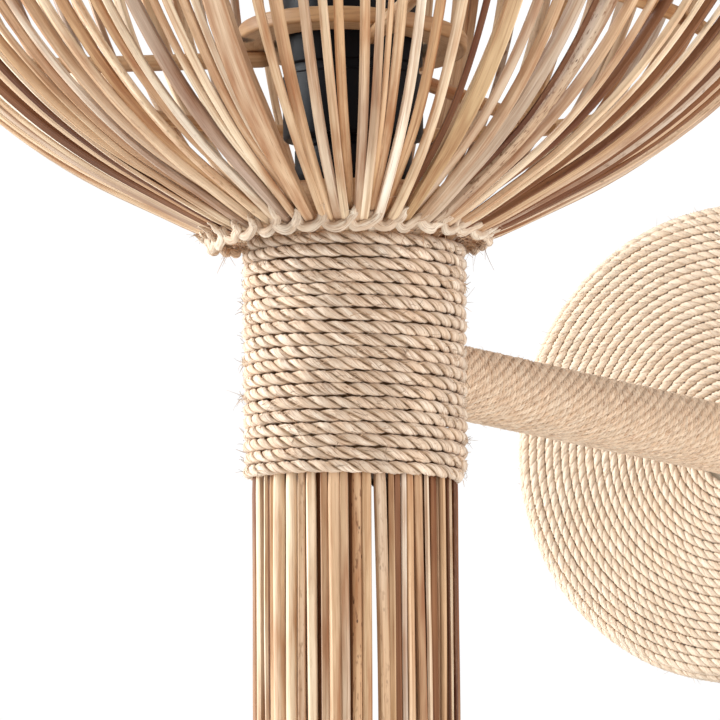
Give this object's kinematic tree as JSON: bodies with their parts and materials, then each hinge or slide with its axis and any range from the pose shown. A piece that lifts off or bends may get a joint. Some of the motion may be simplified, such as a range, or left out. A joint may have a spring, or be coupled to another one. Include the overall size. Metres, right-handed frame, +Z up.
{
  "type": "wall sconce",
  "caption": "Wall lamp of natural rattan sticks: a twine-covered canopy and arm carry a rope-bound neck with an open stick bowl above it and a straight stick tail below.",
  "frame": {"origin": "centre of the wall bracket's back face, on the arm's axis", "axes": "+Z up, +Y into the wall, lamp in front of the wall at -Y"},
  "size_m": [0.3202, 0.4651, 0.4365],
  "materials": {
    "zinc_steel": "zinc plated, satin",
    "enamelled_steel": "beige enamel",
    "abaca_twine": "thin twisted plant-fibre twine, natural",
    "brass": "bare",
    "white_nylon": "natural",
    "cable_sheath": "smooth",
    "turned_wood": "oiled",
    "abaca_rope": "two-ply twisted plant-fibre rope, natural",
    "rattan_stick": "raw peeled sticks, mixed cream, tan and brown",
    "rattan_cane": "thick cane, natural",
    "black_phenolic": "satin black",
    "white_ceramic": "glazed",
    "nickel_cap": "nickel plated",
    "clear_glass": "clear",
    "filament": "light-emitting strip"
  },
  "bodies": {
    "sconce": {"wall_bracket": "zinc_steel", "arm_tube": "zinc_steel", "arm_washer": "zinc_steel", "arm_locknut": "zinc_steel", "arm_fixing_screw": "zinc_steel", "base_screw_left": "zinc_steel", "base_screw_right": "zinc_steel", "nipple_nut": "zinc_steel", "canopy_pan": "enamelled_steel", "canopy_twine": "abaca_twine", "arm_twine": "abaca_twine", "neck_twining": "abaca_twine", "twining_row_outer": "abaca_twine", "twining_row_inner": "abaca_twine", "rim_row_outer": "abaca_twine", "rim_row_inner": "abaca_twine", "earth_screw": "brass", "canopy_screw_top": "brass", "canopy_screw_bottom": "brass", "nipple": "brass", "screw_shell": "brass", "centre_contact": "brass", "terminal_block": "white_nylon", "lamp_cable": "cable_sheath", "neck_core": "turned_wood", "shade_base": "turned_wood", "tail_former": "turned_wood", "rope_collar": "abaca_rope", "tail_binding": "abaca_rope", "bowl_sticks_01": "rattan_stick", "bowl_sticks_02": "rattan_stick", "bowl_sticks_03": "rattan_stick", "bowl_sticks_04": "rattan_stick", "bowl_sticks_05": "rattan_stick", "bowl_sticks_06": "rattan_stick", "bowl_sticks_07": "rattan_stick", "bowl_sticks_08": "rattan_stick", "bowl_sticks_09": "rattan_stick", "bowl_sticks_10": "rattan_stick", "tail_sticks_1": "rattan_stick", "tail_sticks_2": "rattan_stick", "tail_sticks_3": "rattan_stick", "tail_sticks_4": "rattan_stick", "tail_sticks_5": "rattan_stick", "tail_sticks_6": "rattan_stick", "shade_ring": "rattan_cane", "rod_left": "rattan_cane", "rod_rear": "rattan_cane", "rod_front": "rattan_cane", "shade_hoop": "rattan_cane", "lampholder_cap": "black_phenolic", "lampholder_body": "black_phenolic", "holder_insulator": "white_ceramic"},
    "bulb": {"bulb_cap": "nickel_cap", "bulb_glass": "clear_glass", "bulb_stem": "clear_glass", "bulb_filament": "filament"}
  },
  "joints": [
    {"name": "bulb_lift", "type": "slide", "parent": "sconce", "child": "bulb", "axis": [0, 0, 1], "range_m": [0, 0.115]}
  ]
}
